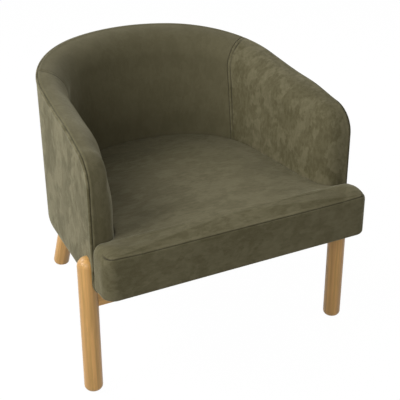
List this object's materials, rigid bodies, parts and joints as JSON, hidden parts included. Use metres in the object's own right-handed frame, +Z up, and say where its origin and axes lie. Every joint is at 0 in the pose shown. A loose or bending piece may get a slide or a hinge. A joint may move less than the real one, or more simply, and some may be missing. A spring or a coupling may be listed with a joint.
{
  "type": "tub armchair",
  "caption": "Upholstered tub armchair with a curved back that runs into low arms, a deep seat that reaches out past the arms, and round wooden legs lapped onto the shell",
  "frame": {"origin": "on the floor under the middle of the chair's width and depth", "axes": "+X to the right as seen from the front, +Y from the front of the seat to the back, +Z up"},
  "size_m": [0.7408, 0.754, 0.7077],
  "materials": {
    "suede": "olive green suede-like velvet with a mottled nap",
    "oak": "light oak, satin lacquer, grain along the leg",
    "plywood": "raw plywood frame",
    "back_board": "bent fibreboard, raw",
    "foam": "open-cell seat foam",
    "webbing": "woven elastic webbing",
    "dust_cloth": "thin black non-woven cloth",
    "steel": "zinc-plated steel",
    "insert_brass": "plain brass insert",
    "glide_plastic": "black moulded plastic"
  },
  "bodies": {
    "root": {"front_leg_left": "oak", "front_leg_right": "oak", "rear_leg_left": "oak", "rear_leg_right": "oak", "glides": "glide_plastic", "front_cross_rail": "oak", "leg_bolts": "steel", "bolt_washers": "steel", "thread_inserts": "insert_brass", "seat_front_rail": "plywood", "seat_end_rails": "plywood", "seat_bearers": "plywood", "seat_cross_rail": "plywood", "seat_side_rail_left": "plywood", "seat_side_rail_right": "plywood", "seat_back_rail": "plywood", "corner_blocks": "plywood", "arm_panel_left": "plywood", "arm_panel_right": "plywood", "top_rail": "plywood", "back_posts": "plywood", "back_board": "back_board", "back_webbing": "webbing", "seat_webbing_long": "webbing", "seat_webbing_cross": "webbing", "seat_foam": "foam", "seat_front_padding": "foam", "back_foam": "foam", "arm_foam_left": "foam", "arm_foam_right": "foam", "seat_cover": "suede", "inside_back_cover": "suede", "inside_arm_cover_left": "suede", "inside_arm_cover_right": "suede", "outside_back_cover": "suede", "outside_arm_cover_left": "suede", "outside_arm_cover_right": "suede", "dust_cover": "dust_cloth"}
  },
  "joints": []
}
